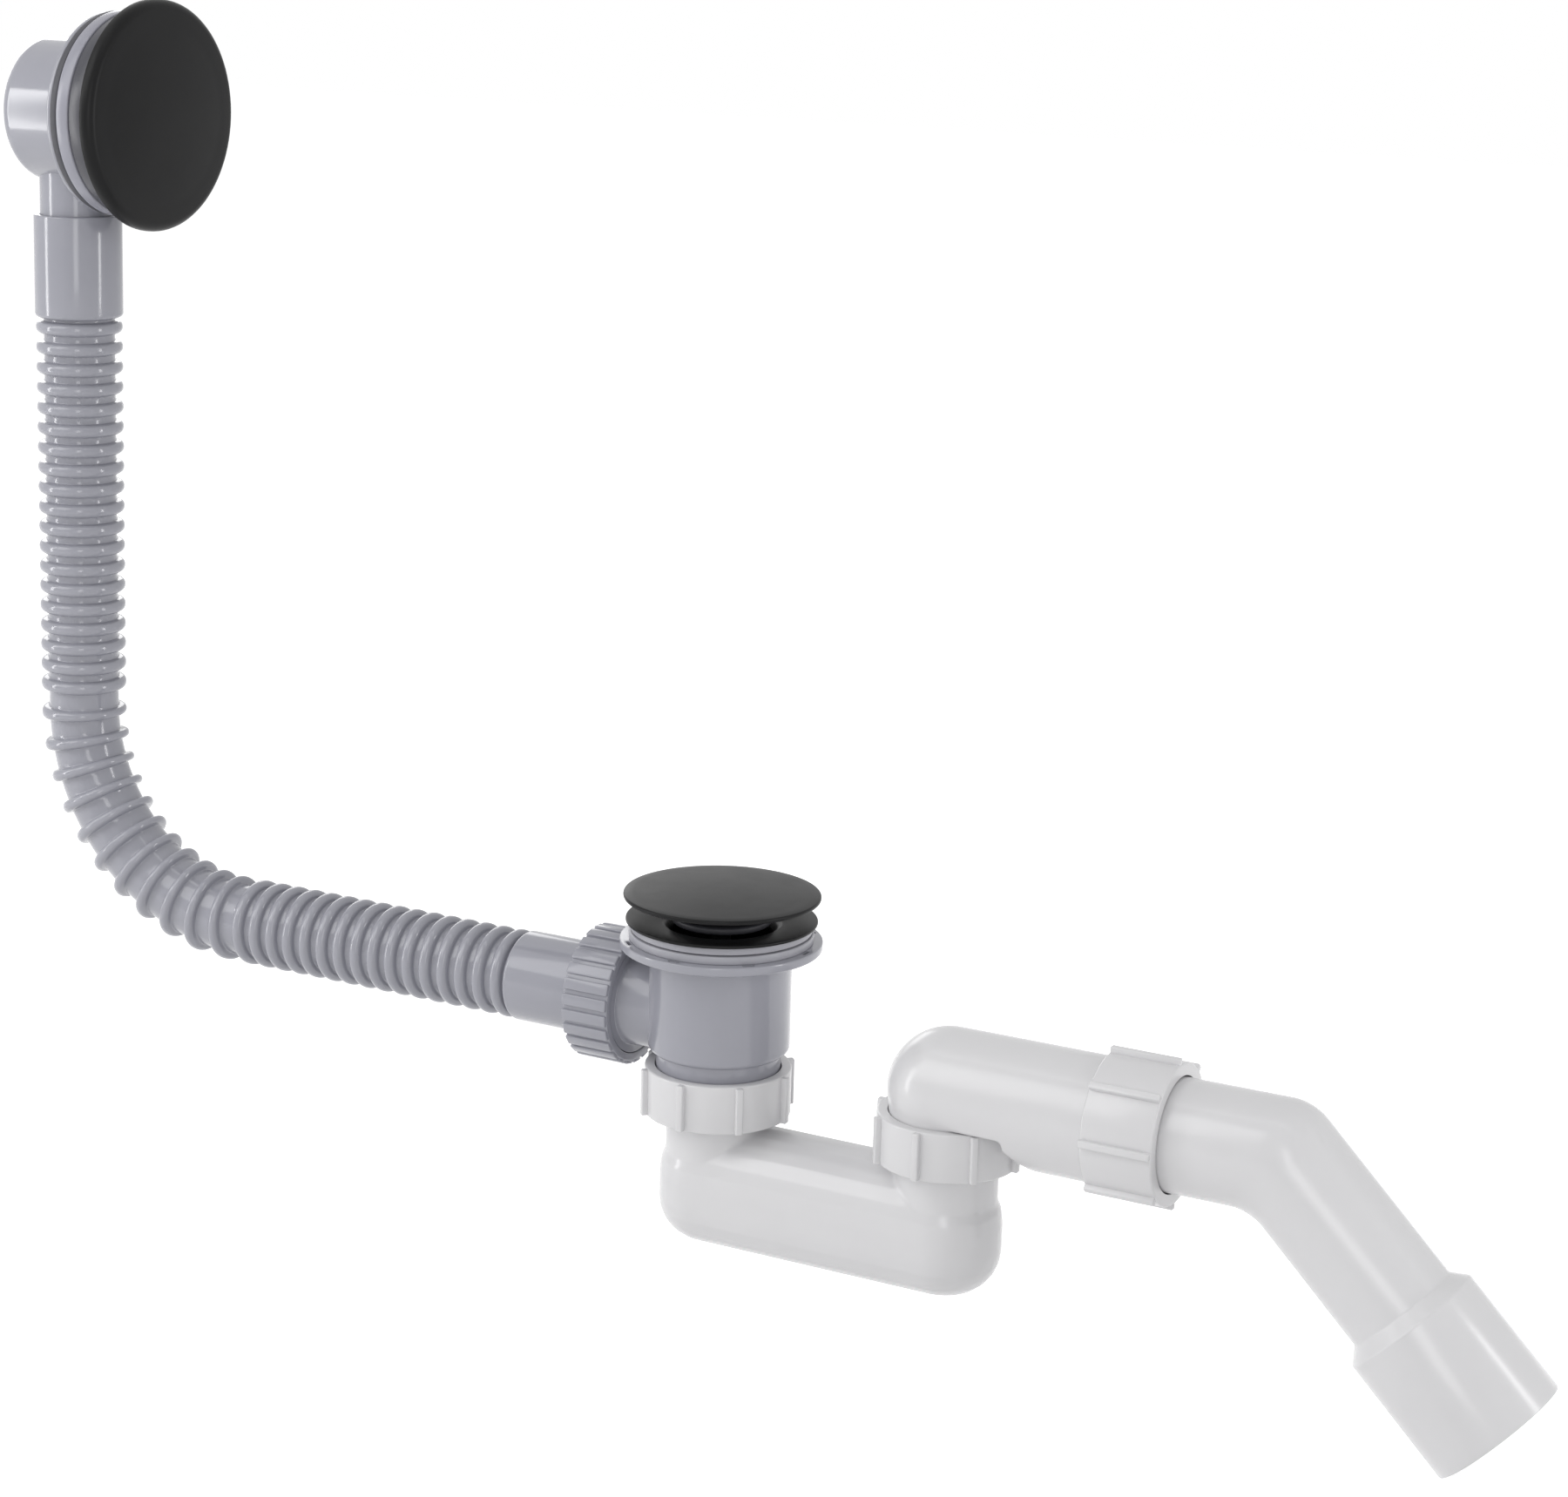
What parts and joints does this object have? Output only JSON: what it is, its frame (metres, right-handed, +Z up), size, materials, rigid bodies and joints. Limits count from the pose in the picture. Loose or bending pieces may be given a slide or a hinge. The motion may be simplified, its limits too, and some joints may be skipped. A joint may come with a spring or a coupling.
{
  "type": "bath waste and overflow",
  "caption": "Pop-up bath waste with dished flange and low swivelling trap, corrugated overflow hose with a round wall cover, and a 45 degree outlet pipe.",
  "frame": {"origin": "on the waste's upright axis, in the plane where the bath's floor is clamped between its two gaskets", "axes": "+Z up along the waste's axis, +X from the overflow towards the outlet; every pipe axis lies in the plane Y = 0"},
  "size_m": [0.6265, 0.0882, 0.4664],
  "materials": {
    "grey_plastic": "glossy",
    "pale_plastic": "satin",
    "pale_gasket": "matt",
    "black_finish": "matt",
    "black_plastic": "matt",
    "dark_plastic": "satin",
    "seal_rubber": "matt",
    "spring_steel": "brushed"
  },
  "bodies": {
    "waste": {"waste_body": "grey_plastic", "waste_flange": "black_finish", "upper_gasket": "pale_gasket", "lower_gasket": "pale_gasket", "plug_cartridge": "pale_plastic", "plug_spring": "spring_steel", "overflow_hose": "grey_plastic", "hose_nut": "grey_plastic", "hose_seal": "seal_rubber", "inlet_nut": "pale_plastic", "inlet_seal": "seal_rubber", "overflow_body": "grey_plastic", "wall_gasket": "seal_rubber", "front_ring": "pale_plastic", "cover_carrier": "dark_plastic", "overflow_cover": "black_finish", "overflow_screw": "spring_steel"},
    "plug": {"plug_cap": "black_finish", "plug_seal": "seal_rubber", "plug_stem": "black_plastic"},
    "trap": {"trap_bend": "pale_plastic"},
    "elbow": {"elbow": "pale_plastic", "riser_nut": "pale_plastic", "riser_seal": "seal_rubber", "outlet_nut": "pale_plastic", "outlet_seal": "seal_rubber"},
    "outlet": {"outlet_bend": "pale_plastic"}
  },
  "joints": [
    {"name": "plug_slide", "type": "slide", "parent": "waste", "child": "plug", "axis": [0, 0, 1], "range_m": [-0.0075, 0], "deforming": ["plug_spring"]},
    {"name": "trap_swivel", "type": "hinge", "parent": "waste", "child": "trap", "pos_m": [0, 0, -0.065], "axis": [0, 0, 1], "range_deg": [-90, 90]},
    {"name": "elbow_swivel", "type": "hinge", "parent": "trap", "child": "elbow", "pos_m": [0.0937, 0, -0.065], "axis": [0, 0, -1], "range_deg": [-75, 75]},
    {"name": "outlet_swivel", "type": "hinge", "parent": "elbow", "child": "outlet", "pos_m": [0.17, 0, -0.0431], "axis": [1, 0, 0], "continuous": true}
  ]
}
